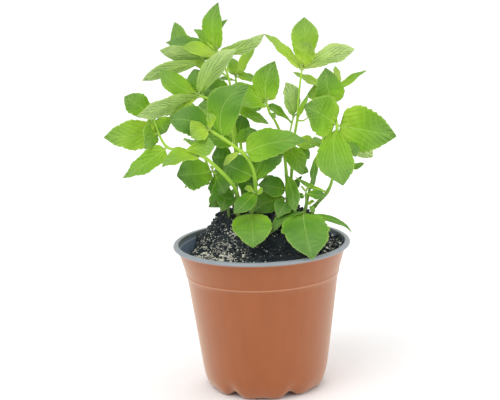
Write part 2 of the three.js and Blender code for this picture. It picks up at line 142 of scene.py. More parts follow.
class Paint:
    """A material and the nodes that make its colour and its surface."""

    def __init__(self, name, roughness, uniform=None):
        self.material = bpy.data.materials.new(name)
        self.material.use_nodes = True
        self.tree = self.material.node_tree
        self.shader = self.tree.nodes["Principled BSDF"]
        self.shader.inputs["Roughness"].default_value = roughness
        for socket_name, value in (uniform or {}).items():
            self.shader.inputs[socket_name].default_value = value

    def node(self, kind, settings, sockets):
        """Any node: its type, its settings, and the values or links of its sockets by name or number."""
        made = self.tree.nodes.new(kind)
        for setting, value in settings.items():
            if setting == "stops":
                for _ in value[2:]:
                    made.color_ramp.elements.new(1)
                for element, (place, colour) in zip(made.color_ramp.elements, value):
                    element.position = place
                    element.color = colour
            else:
                setattr(made, setting, value)
        for socket, value in sockets.items():
            self.put(made.inputs[socket], value)
        return made

    def put(self, socket, value):
        """Links a sum or another node's socket to this socket, or sets a plain value on it."""
        if isinstance(value, Sum):
            self.tree.links.new(value.socket, socket)
        elif isinstance(value, bpy.types.NodeSocket):
            self.tree.links.new(value, socket)
        else:
            socket.default_value = value

    def set(self, socket_name, value):
        """The same for a socket of the shader itself, by name."""
        self.put(self.shader.inputs[socket_name], value)

    def place(self):
        """A point's place in the frame, in metres."""
        return self.node("ShaderNodeTexCoord", {}, {}).outputs["Object"]

    def axis(self, number):
        """A point's place along one axis: X, Y or Z, numbered from 0."""
        parts = self.node("ShaderNodeSeparateXYZ", {}, {0: self.place()})
        return Sum(self, parts.outputs[number])

    def mark(self, name, part=None):
        """A number, or one part of a vector, that the mesh carries at each point."""
        carried = self.node("ShaderNodeAttribute", {"attribute_name": name}, {})
        if part is None:
            return Sum(self, carried.outputs["Fac"])
        parts = self.node("ShaderNodeSeparateXYZ", {}, {0: carried.outputs["Vector"]})
        return Sum(self, parts.outputs[part])

    def cloud(self, scale, detail=3, stretch=(1, 1, 1)):
        """Soft noise between 0 and 1; scale is in lumps a metre."""
        sockets = {0: self.place(), 1: stretch}
        stretched = self.node("ShaderNodeVectorMath", {"operation": "MULTIPLY"}, sockets)
        sockets = {"Vector": stretched.outputs[0], "Scale": scale, "Detail": detail}
        return Sum(self, self.node("ShaderNodeTexNoise", {}, sockets).outputs[0])

    def cells(self, scale):
        """How far a point is from the edge of its cell; scale is in cells a metre."""
        sockets = {"Vector": self.place(), "Scale": scale}
        made = self.node("ShaderNodeTexVoronoi", {"feature": "DISTANCE_TO_EDGE"}, sockets)
        return Sum(self, made.outputs["Distance"])

    def blend(self, share, first, second):
        """The first colour where share is 0 and the second where it is 1."""
        made = self.node("ShaderNodeMix", {"data_type": "RGBA"}, {0: share, 6: first, 7: second})
        return made.outputs[2]

    def ramp(self, value, stops):
        """A colour by value, between stops that each have a place and a colour."""
        return self.node("ShaderNodeValToRGB", {"stops": stops}, {0: value}).outputs[0]

    def relief(self, height, depth):
        """Shades the surface as if it were raised by height times depth, in metres."""
        made = self.node("ShaderNodeBump", {}, {"Height": height, "Distance": depth})
        self.put(self.shader.inputs["Normal"], made.outputs[0])


def colour(red, green, blue):
    """A colour as seen on a screen, 0 to 255, as the renderer's linear one."""
    shares = [part / 255 for part in (red, green, blue)]
    linear = [share / 12.92 if share < 0.04045 else ((share + 0.055) / 1.055) ** 2.4 for share in shares]
    return (*linear, 1)


card = Paint("white_card", 0.9)
card.set("Base Color", card.blend(card.cloud(40), colour(250, 250, 250), colour(255, 255, 255)))
card.relief(card.cloud(900), 0.0001)

angles = np.arange(floor_sides) * 2 * math.pi / floor_sides
floor_points = [(floor_radius * math.cos(a), floor_radius * math.sin(a), -floor_gap) for a in angles]
floor_mesh = bpy.data.meshes.new("floor")
floor_mesh.from_pydata(floor_points, [], [tuple(range(floor_sides))])
floor_mesh.materials.append(card.material)
floor = bpy.data.objects.new("floor", floor_mesh)
scene.collection.objects.link(floor)

# The pot. A nursery pot drawn from one thin two-layer plastic sheet, terracotta outside and grey inside. It
# is tapered, with a stepped collar and a rolled lip. Its foot is scalloped by drainage channels, and six
# drains are punched through the deep ones.
mm = 0.001
pot_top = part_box("pot")[1]
rim_radius = pot_top.x / mm
pot_height = pot_top.z / mm
lip_wide = 4.2
lip_tall = 2.8
lip_seam = 0.4
mouth_radius = rim_radius - lip_wide
wall = 0.9
corner_reach = 1.2
longest_stretch = 2.5
step_height = 86
ledge_height = 104
flat_radius = 22
channel_edge = 36
channels = 12
channel_rise = 4.4
channel_foot = 4
channel_top = 17
channel_turn = math.radians(-5)
channel_sharpness = 1.4
drains = 6
drain_radius = 2.6
drain_at = 35
punch_height = 3
punch_length = 12
upper_rib_height = 102.2
upper_rib_share = 0.6
rib_stand = 0.3
rib_half = 0.45
pot_sides = 180
clay_dark = colour(142, 73, 26)
clay_pale = colour(166, 90, 40)
clay_rib_highlight = colour(214, 160, 128)
lining_dark = colour(132, 140, 147)
lining_pale = colour(154, 162, 168)
lining_shade_tint = colour(150, 168, 204)
lining_ledge_highlight = colour(240, 246, 250)

outside = [
    (0, 0), (flat_radius, 0), (31, 0), (40.2, 0), (43, 3.4), (45, 8.5), (46.2, 15),
    (55.4, step_height - 2.4), (56.2, step_height - 0.8), (56.2, step_height + 0.8),
    (61.6, pot_height - lip_tall),
]
lip = [
    (rim_radius - 0.5, pot_height - lip_tall), (rim_radius, pot_height - lip_tall / 2),
    (rim_radius - 1.1, pot_height), (mouth_radius + 0.4, pot_height), (mouth_radius, pot_height - 0.9),
]


def smooth(value, low, high):
    """0 below low and 1 above high, with a soft change between them."""
    share = np.clip((value - low) / (high - low), 0, 1)
    return share * share * (3 - 2 * share)


def inset(distance):
    """The outside outline moved inwards, for the inside of the wall and for the soil that fills it."""
    moved = []
    for i in range(1, len(outside)):
        here = Vector(outside[i])
        before = Vector(outside[i - 1])
        after = Vector(outside[i + 1]) if i + 1 < len(outside) else here + here - before
        along = ((here - before).normalized() + (after - here).normalized()).normalized()
        moved.append((here.x - distance * along.y, here.y + distance * along.x))
    return moved


def softened(outline, reach, rounds=2):
    """Cuts the corners of an outline, each by no more than reach, so that they come out round."""
    for _ in range(rounds):
        cut = [outline[0]]
        for first, second in zip(outline, outline[1:]):
            start, end = Vector(first), Vector(second)
            share = min(0.25, reach / max((end - start).length, 1e-6))
            cut += [tuple(start.lerp(end, share)), tuple(start.lerp(end, 1 - share))]
        outline = cut + [outline[-1]]
        reach = reach / 2
    return outline


def channel_lift(radius, height):
    """How far a channel at its deepest lifts a point of the foot."""
    from_foot = 1 - smooth(height, channel_foot, channel_top)
    return channel_rise * smooth(radius, flat_radius, channel_edge) * from_foot


def channel_shape(angle):
    """How far a channel cuts at an angle from the front: deep and shallow channels by turns."""
    turned = angle - channel_turn
    across = 0.5 + 0.5 * np.cos(channels * turned)
    return (0.62 - 0.38 * np.cos(channels / 2 * turned)) * across ** channel_sharpness


def divided(outline, longest):
    """The outline with points added, so that no stretch of it is longer than longest."""
    fine = [outline[0]]
    for first, second in zip(outline, outline[1:]):
        start, end = Vector(first), Vector(second)
        parts = max(1, math.ceil((end - start).length / longest))
        fine += [tuple(start.lerp(end, part / parts)) for part in range(1, parts + 1)]
    return fine


def spun(outline, sides):
    """Points and faces of an outline turned about the pot's axis; it starts and ends on the axis."""
    turns = np.arange(sides) * 2 * math.pi / sides
    radius = np.array([point[0] for point in outline[1:-1]])[:, None]
    height = np.array([point[1] for point in outline[1:-1]])[:, None]
    rings = np.stack([radius * np.sin(turns), -radius * np.cos(turns), height + 0 * turns], 2)
    ends = [[0, 0, outline[0][1]], [0, 0, outline[-1][1]]]
    points = np.concatenate([rings.reshape(-1, 3), ends])
    start, end = len(points) - 2, len(points) - 1
    last = (len(outline) - 3) * sides
    faces = []
    for k in range(sides):
        after = (k + 1) % sides
        faces.append((start, after, k))
        for row in range(0, last, sides):
            faces.append((row + k, row + after, row + sides + after, row + sides + k))
        faces.append((last + k, last + after, end))
    return points, faces


def new_piece(name, points, faces, paints, slots=None, marks=None):
    """A smooth mesh object from points in millimetres. Slots pick a face's paint, marks ride on points."""
    mesh = bpy.data.meshes.new(name)
    mesh.from_pydata((np.asarray(points) * mm).tolist(), [], faces)
    for paint in paints:
        mesh.materials.append(paint.material)
    if slots is not None:
        mesh.polygons.foreach_set("material_index", slots)
    for mark_name, values in (marks or {}).items():
        values = np.asarray(values, dtype=np.float32)
        kind, field = ("FLOAT", "value") if values.ndim == 1 else ("FLOAT_VECTOR", "vector")
        mesh.attributes.new(mark_name, kind, "POINT").data.foreach_set(field, values.ravel())
    mesh.polygons.foreach_set("use_smooth", [True] * len(mesh.polygons))
    mesh.update()
    made = bpy.data.objects.new(name, mesh)
    scene.collection.objects.link(made)
    return made


def outward(piece):
    """Turns all faces of a closed piece to its outside."""
    shape = bmesh.new()
    shape.from_mesh(piece.data)
    bmesh.ops.recalc_face_normals(shape, faces=shape.faces)
    shape.to_mesh(piece.data)
    shape.free()


terracotta = Paint("terracotta_plastic", 0.42, {
    "Specular IOR Level": 0.3, "Sheen Weight": 0.5, "Coat Weight": 0.3, "Coat Roughness": 0.3,
    "Sheen Tint": (1, 0.86, 0.66, 1),
})
streaks = terracotta.cloud(160, 4, (1, 1, 0.12))
blotches = terracotta.cloud(28, 3)
clay = terracotta.blend(streaks * 0.6 + blotches * 0.4, clay_dark, clay_pale)
height_mm = terracotta.axis(2) * (1 / mm)
# Along the rib at the step the clay is painted paler: a painted highlight for light catching the rib.
rib_highlight = 1 - abs(height_mm - step_height).step(0.2, 0.8)
terracotta.set("Base Color", terracotta.blend(rib_highlight * 0.4, clay, clay_rib_highlight))
terracotta.set("Roughness", streaks * 0.12 + 0.34)
terracotta.relief(terracotta.cloud(420, 3, (1, 1, 0.05)), 0.00006)

grey_lining = Paint("grey_plastic", 0.38, {"Specular IOR Level": 0.55})
lining = grey_lining.blend(grey_lining.cloud(120), lining_dark, lining_pale)
lining_height = grey_lining.axis(2) * (1 / mm)
# Below the lip the lining takes a bluer grey than on the lip: painted shade, the same grey plastic as it
# looks in shade inside the pot.
in_mouth = 1 - lining_height.step(pot_height - 4, pot_height - 2)
lining = grey_lining.blend(in_mouth, lining, lining_shade_tint)
# A thin near-white line on the inner wall, a little below the lip, is a painted highlight that stands for
# light on a step in the lining.
ledge_highlight = (1 - abs(lining_height - ledge_height).step(0.2, 0.8)) * in_mouth
grey_lining.set("Base Color", grey_lining.blend(ledge_highlight * 0.6, lining, lining_ledge_highlight))
grey_lining.relief(grey_lining.cloud(500), 0.00005)


def rib_at(height, rib_height):
    """1 on a rib of the wall, falling softly to 0 beside it."""
    return np.exp(-(((height - rib_height) / rib_half) ** 2))


wall_outline = softened(outside + lip + inset(wall)[::-1] + [(0, wall)], corner_reach)
wall_outline = divided(wall_outline, longest_stretch)
pot_points, pot_faces = spun(wall_outline, pot_sides)
radii = np.hypot(pot_points[:, 0], pot_points[:, 1])
turn_of = np.arctan2(pot_points[:, 0], -pot_points[:, 1])
heights = pot_points[:, 2].copy()
pot_points[:, 2] += channel_lift(radii, heights) * channel_shape(turn_of)
seam_height = pot_height - lip_tall + lip_seam
outer_count = next(i for i, point in enumerate(wall_outline) if point[1] > seam_height)
is_outer = (np.arange(len(pot_points) - 2) // pot_sides) < outer_count
is_outer = np.append(is_outer, [True, False])
rib = rib_at(heights, step_height) + upper_rib_share * rib_at(heights, upper_rib_height)
stand = 1 + np.where(is_outer, rib_stand * rib, 0) / np.maximum(radii, 1)
pot_points[:, 0] *= stand
pot_points[:, 1] *= stand
pot_slots = [0 if is_outer[list(face)].all() else 1 for face in pot_faces]
pot = new_piece("pot_wall", pot_points, pot_faces, [terracotta, grey_lining], pot_slots)
outward(pot)

punches = bmesh.new()
for k in range(drains):
    turn = (k + 0.5) * 2 * math.pi / drains + channel_turn
    spot = Vector((drain_at * math.sin(turn), -drain_at * math.cos(turn), punch_height)) * mm
    bmesh.ops.create_cone(
        punches, cap_ends=True, segments=32, radius1=drain_radius * mm, radius2=drain_radius * mm,
        depth=punch_length * mm, matrix=Matrix.Translation(spot),
    )
punch_mesh = bpy.data.meshes.new("drain_punches")
punches.to_mesh(punch_mesh)
punches.free()
punch = bpy.data.objects.new("drain_punches", punch_mesh)
scene.collection.objects.link(punch)
cut = pot.modifiers.new("drains", "BOOLEAN")
cut.object = punch
cut.operation = "DIFFERENCE"
cut.solver = "EXACT"
bpy.context.view_layer.update()
finished = bpy.data.meshes.new_from_object(pot.evaluated_get(bpy.context.evaluated_depsgraph_get()))
pot.modifiers.clear()
pot.data = finished
bpy.data.objects.remove(punch)
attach(pot, "root")
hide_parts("pot")

# The soil. Dark peat compost fills the pot to the floor and is heaped round the stems, with a steep hollow
# at its left edge. Its top is crumbs and fibres, with pale grit at the front left and white specks all over.
gap = 0.3
soil_level = 105
soil_heap = 22
soil_hollow = 16
heap_middle = (2, 8)
heap_stretch = 1.05
heap_flat = 29
heap_foot = 49
hollow_middle = (-60, 12)
hollow_stretch = (0.6, 1.7)
hollow_flat = 8
hollow_foot = 26
edge_radius = 59.5
below_rim = 3
soil_sides = 160
side_rings = 24
soil_rings = 46
soil_seed = 11
crumb_inset = 1.4
crumb_sunk = 0.25
crumb_rough = (0.72, 1.25)
crumb_flat = (0.6, 1.1)
mostly_small = 2.2

side_outline = inset(wall + gap)


def soil_top(x, y):
    """The height of the soil's top: level, with the heap, the hollow and broad lumps."""
    from_heap = np.hypot((x - heap_middle[0]) / heap_stretch, y - heap_middle[1])
    heap = soil_heap * (1 - smooth(from_heap, heap_flat, heap_foot))
    hollow_x = (x - hollow_middle[0]) / hollow_stretch[0]
    hollow_y = (y - hollow_middle[1]) / hollow_stretch[1]
    from_hollow = np.hypot(hollow_x, hollow_y)
    hollow = soil_hollow * (1 - smooth(from_hollow, hollow_flat, hollow_foot))
    lumps = 1.3 * np.sin(x * 0.31 + 0.6) * np.cos(y * 0.27 - 0.4) + 0.8 * np.sin(x * 0.55 + y * 0.62)
    return soil_level + heap - hollow + lumps


def side_radius(height):
    """The soil's radius where it meets the pot's wall."""
    radii, heights = zip(*side_outline[3:])
    return np.interp(height, heights, radii)


def rim_of(angle):
    """The height of the soil's edge at an angle from the front."""
    edge = soil_top(edge_radius * np.sin(angle), -edge_radius * np.cos(angle))
    return np.minimum(edge, pot_height - below_rim)


peat = Paint("peat", 0.95, {"Specular IOR Level": 0.15})
grain = peat.mark("grain") + (peat.cloud(900, 4) - 0.5) * 0.16
peat.set("Base Color", peat.ramp(grain, [
    (0, colour(40, 49, 55)), (0.25, colour(68, 74, 76)), (0.5, colour(124, 120, 106)),
    (0.7, colour(214, 209, 182)), (0.9, colour(252, 250, 238)),
]))
peat.relief(peat.cloud(2600, 5), 0.0006)

# The soil's underside and foot follow the inside of the pot's. Its side and top are set point by point.
buried = [(0, wall + gap)] + side_outline[:6]
level_marks = np.linspace(0, 1, side_rings)
top_marks = np.linspace(1, 0, soil_rings)[1:-1]
soil_outline = buried + [(1, 0)] * side_rings + [(mark, 1) for mark in top_marks] + [(0, 1)]
soil_points, soil_faces = spun(soil_outline, soil_sides)
row_of = np.append(np.arange(len(soil_points) - 2) // soil_sides, [-1, -2])
angle_of = np.arctan2(soil_points[:, 0], -soil_points[:, 1])
radius_of = np.hypot(soil_points[:, 0], soil_points[:, 1])
rim_height = rim_of(angle_of)
first_side = len(buried) - 1
first_top = first_side + side_rings
foot_height = buried[-1][1]
soil_grain = np.full(len(soil_points), 0.1)
for i in range(len(soil_points) - 1):
    row = row_of[i]
    out = np.array([math.sin(angle_of[i]), -math.cos(angle_of[i])])
    if row == -1 or 0 <= row < first_side:
        soil_points[i, 2] += channel_lift(radius_of[i], soil_points[i, 2])
    elif first_side <= row < first_top:
        share = level_marks[row - first_side]
        height = foot_height + (rim_height[i] - foot_height) * (0.1 + 0.9 * share)
        soil_points[i] = [*(out * side_radius(height)), height]
    else:
        reach = radius_of[i] * side_radius(rim_height[i])
        x, y = out * reach
        rough = noise.noise(Vector((x, y, 0)) / 3.1) * 0.9 + noise.noise(Vector((x, y, 5)) / 1.1) * 0.5
        calm = smooth(1 - radius_of[i], 0, 0.06)
        soil_points[i] = [x, y, soil_top(x, y) + rough * calm]
soil_points[-1, 2] = soil_top(0, 0)
soil = new_piece("soil_body", soil_points, soil_faces, [peat], marks={"grain": soil_grain})
outward(soil)
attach(soil, "root")
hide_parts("soil")

pebble = bmesh.new()
bmesh.ops.create_icosphere(pebble, subdivisions=1, radius=1)
pebble_points = np.array([corner.co for corner in pebble.verts])
pebble_faces = np.array([[corner.index for corner in face.verts] for face in pebble.faces])
pebble.free()


def anywhere(draw, count):
    """Spots all over the soil."""
    angle = draw.uniform(0, 2 * math.pi, count)
    reach = np.sqrt(draw.uniform(0, 1, count))
    reach = reach * (side_radius(rim_of(angle)) - crumb_inset)
    return np.stack([reach * np.sin(angle), -reach * np.cos(angle)], 1)


def near(draw, count, middle, spread):
    """Spots that lie closest about one place, all of them on the soil."""
    spots = draw.normal(0, 1, (count * 3, 2)) * spread + middle
    angle = np.arctan2(spots[:, 0], -spots[:, 1])
    inside = np.hypot(spots[:, 0], spots[:, 1]) < side_radius(rim_of(angle)) - crumb_inset
    return spots[inside][:count]


def turned_randomly(draw, count):
    """Random rotations, as matrices."""
    quaternion = draw.normal(0, 1, (count, 4))
    w, x, y, z = (quaternion / np.linalg.norm(quaternion, axis=1)[:, None]).T
    rows = [
        [1 - 2 * (y * y + z * z), 2 * (x * y - z * w), 2 * (x * z + y * w)],
        [2 * (x * y + z * w), 1 - 2 * (x * x + z * z), 2 * (y * z - x * w)],
        [2 * (x * z - y * w), 2 * (y * z + x * w), 1 - 2 * (x * x + y * y)],
    ]
    return np.array(rows).transpose(2, 0, 1)


def crumbs(draw, spots, smallest, largest, slim):
    """Rough little lumps that lie on the soil at the spots; slim above 1 draws them out into fibres."""
    count = len(spots)
    size = smallest + (largest - smallest) * draw.uniform(0, 1, count) ** mostly_small
    lumps = pebble_points[None] * draw.uniform(*crumb_rough, (count, len(pebble_points), 1))
    lumps = lumps * draw.uniform(*crumb_flat, (count, 1, 3)) * [slim, 1, 1]
    lumps = np.einsum("nij,nkj->nki", turned_randomly(draw, count), lumps) * size[:, None, None]
    lumps[:, :, 2] *= 1 / slim ** 0.5
    height = soil_top(spots[:, 0], spots[:, 1]) + size * (0.5 - crumb_sunk)
    return lumps + np.column_stack([spots, height])[:, None]


draw = np.random.default_rng(soil_seed)

# A layer has its spots, its smallest and largest size, how slim its lumps are and how pale they come out.
layers = [
    (anywhere(draw, 2300), 0.45, 2.3, 1, (0.0, 0.26)),
    (anywhere(draw, 700), 0.3, 1.2, 1.3, (0.25, 0.5)),
    (near(draw, 1700, (-34, -34), (12, 10)), 0.25, 0.8, 2, (0.72, 1)),
    (near(draw, 700, (-44, -6), (6, 16)), 0.25, 0.7, 2, (0.68, 1)),
    (near(draw, 260, (52, -10), (8, 16)), 0.3, 0.6, 3.5, (0.6, 1)),
    (anywhere(draw, 300), 0.22, 0.45, 6, (0.4, 0.9)),
    (anywhere(draw, 360), 0.35, 1, 1.2, (0.85, 1)),
]
crumb_points, crumb_grain = [], []
for spots, smallest, largest, slim, pale in layers:
    lumps = crumbs(draw, spots, smallest, largest, slim)
    crumb_points.append(lumps.reshape(-1, 3))
    shade = draw.uniform(*pale, len(lumps))
    crumb_grain.append(np.repeat(shade, len(pebble_points)))
crumb_points = np.concatenate(crumb_points)
crumb_starts = np.arange(0, len(crumb_points), len(pebble_points))
crumb_faces = (pebble_faces[None] + crumb_starts[:, None, None]).reshape(-1, 3)
crumb_marks = {"grain": np.concatenate(crumb_grain)}
soil_crumbs = new_piece("soil_crumbs", crumb_points, crumb_faces.tolist(), [peat], marks=crumb_marks)
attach(soil_crumbs, "root")

# The leafy stems. Each is one growth of square, finely haired stem with toothed leaves on short stalks,
# folded along the midrib and quilted between the side veins. Tiny young leaves stand at its tip, and its
# foot goes down into the soil.
blade_thick = 0.36
blade_fold = math.radians(14)
tooth_pitch = 3.8
tooth_depth = 0.06
tooth_jags = (0.3, 1.7)
tooth_rows = (0, 0.27, 0.54, 0.8)
fewest_teeth = 3
most_teeth = 14
tip_row = 0.993
tip_in_tooth = 0.6
stalk_length = 2
stalk_radius = 0.8
rib_radius = 0.4
rib_end_radius = 0.1
rib_drop = 0.35
rib_sides = 8
full_rib_length = 22
groove_depth = 0.2
groove_half = 0.7
most_curl = 0.26
wave_depth = 0.055
wave_counts = (1.4, 2.6)
quilt_depth = 0.05
vein_pairs = 5.2
vein_gap = 4.2
vein_slant = 1.55
sparse_gap = 9
sparse_slant = 3.3
stem_sides = 16
stem_steps = 8
stem_end_thins = 0.6
node_swell = 0.2
node_reach = 2
hair_length = 0.8
hair_half = 0.03
hair_root = 0.68
hairs_per_mm = 3
sprig_size = 6
sprig_shrink = 0.22
sprig_ahead = 0.8
sprig_spread = (0.45, 0.7)
sprig_width = 0.45
sprig_form = (0, 0.08, 0.4, 0)
sprig_tones = (0.85, 0.95)
leaf_seed = 100
columns = np.array([0, 0.09, 0.24, 0.42, 0.6, 0.77, 0.91, 1.0])
columns = np.concatenate([-columns[:0:-1], columns])

leaf_greens = [
    (0, colour(58, 106, 26)), (0.3, colour(86, 142, 26)), (0.55, colour(128, 180, 34)),
    (0.8, colour(164, 204, 54)), (1, colour(186, 216, 84)),
]
tip_green = colour(128, 164, 96)
underside_green = colour(206, 230, 152)
midrib_green = colour(190, 216, 112)
edge_rim_light = colour(190, 214, 104)


def leaf_paint(name, pale, roughness, vein_share, vein_colour_and_shade, vein_start, vein_relief, patchy):
    """Greens by a leaf's tone, partly how old it is and partly painted shade, with its veins, over a skin
    that is puckered between finer veins; a painted rim light runs along its edge.
    """
    paint = Paint(name, roughness, {"Specular IOR Level": 0.28})
    along = paint.mark("blade", 0)
    across = abs(paint.mark("blade", 1))
    from_vein = abs(paint.mark("blade", 2).fraction() - 0.5)
    vein = from_vein.step(vein_start, 0.5) * (1 - across.step(0.6, 0.95))
    vein = vein * (1 - patchy * (1 - paint.cloud(90, 2).step(0.3, 0.62)))
    midrib = (1 - paint.mark("from_rib").step(0.1, 0.5)) * (1 - along * 0.7)
    # A leaf's tone is partly how old it is and partly painted shade; the blade is also made brighter towards
    # its stalk.
    age_and_shade = paint.mark("tone") + (paint.cloud(60, 2) - 0.5) * 0.3 + (1 - along.step(0, 0.5)) * 0.2
    green = paint.ramp(age_and_shade - along.step(0.6, 1.0) * 0.06, leaf_greens)
    green = paint.blend(along.step(0.3, 0.95) * 0.45, green, tip_green)
    green = paint.blend((along * 0.9 + 0.55) * pale, green, underside_green)
    green = paint.blend(vein * vein_share, green, vein_colour_and_shade)
    green = paint.blend(midrib * 0.5, green, midrib_green)
    # A thin paler band along the edge of each blade is a painted rim light.
    green = paint.blend(across.step(0.9, 1.0) * 0.42, green, edge_rim_light)
    paint.set("Base Color", green)
    puckers = paint.cells(620).step(0, 0.5)
    height = puckers * 0.3 + (1 - vein) * vein_relief + paint.cloud(2600, 2) * 0.12
    paint.relief(height, 0.0006)
    paint.set("Roughness", paint.cloud(300) * 0.14 + (roughness - 0.07))
    return paint


leaf_upper = leaf_paint(
    "leaf_upper_side", pale=0, roughness=0.5, vein_share=0.3, vein_colour_and_shade=colour(168, 204, 84),
    vein_start=0.41, vein_relief=0.5, patchy=0.9,
)
# On the underside the vein lines are painted a darker green: painted shade for the shadowed grooves beside
# the raised veins. On the upper side they take the veins' own paler green.
leaf_lower = leaf_paint(
    "leaf_lower_side", pale=0.55, roughness=0.62, vein_share=0.6, vein_colour_and_shade=colour(104, 160, 58),
    vein_start=0.27, vein_relief=-0.8, patchy=0.8,
)
stem_skin = Paint("stem_skin", 0.5, {"Sheen Weight": 0.1})
stem_height = stem_skin.axis(2) * (1 / mm) + (stem_skin.cloud(200) - 0.5) * 24
stem_skin.set("Base Color", stem_skin.ramp(stem_height.step(112, 190), [
    (0, colour(100, 118, 58)), (0.3, colour(116, 158, 50)),
    (0.7, colour(150, 198, 50)), (1, colour(170, 212, 62)),
]))
stem_skin.relief(stem_skin.cloud(1500, 3, (1, 1, 0.2)), 0.0002)


def unit(vector):
    """The vector's direction, one long."""
    return vector / np.linalg.norm(vector)


def along_line(line, mark):
    """The smooth line's point at a mark: its first point is mark 0, its second mark 1, and so on."""
    points = np.asarray(line, float)
    points = np.vstack([2 * points[0] - points[1], points, 2 * points[-1] - points[-2]])
    i = min(int(mark), len(line) - 2)
    share = mark - i
    before, start, end, after = points[i:i + 4]
    leave = 0.5 * (end - before)
    arrive = 0.5 * (after - start)
    cube = 2 * start - 2 * end + leave + arrive
    square = -3 * start + 3 * end - 2 * leave - arrive
    return ((cube * share + square) * share + leave) * share + start


def half_width(along, broadest):
    """Half a blade's width as a share of the whole, with its greatest width at the mark broadest."""
    power = math.log(0.5) / math.log(broadest)
    return 0.5 * np.sin(math.pi * np.clip(along, 0, 1) ** power) ** (0.6 + 0.35 * along)


def leaf_facing(axis, turn):
    """Where a leaf's upper side looks: to the sky, then to the front by turn degrees, or away below 0."""
    sky = unit(np.array([0, 0, 1.0]) - axis * axis[2])
    across = np.cross(axis, sky)
    if across[1] > 0:
        across = -across
    return sky * math.cos(math.radians(turn)) + across * math.sin(math.radians(turn))


def blade_faces(high, wide):
    """Faces of a blade of high by wide points: its upper and lower side, then the edge that joins them."""
    under = high * wide
    faces, slots = [], []
    for i in range(high - 1):
        for j in range(wide - 1):
            near_left = i * wide + j
            quad = (near_left, near_left + 1, near_left + wide + 1, near_left + wide)
            faces += [quad, tuple(corner + under for corner in quad[:1] + quad[:0:-1])]
            slots += [0, 1]
    edge = [i * wide for i in range(high)] + [(high - 1) * wide + j for j in range(1, wide)]
    edge += [i * wide + wide - 1 for i in range(high - 2, -1, -1)] + list(range(wide - 2, 0, -1))
    for here, after in zip(edge, edge[1:] + edge[:1]):
        faces.append((here, after, after + under, here + under))
        slots.append(0)
    return faces, slots


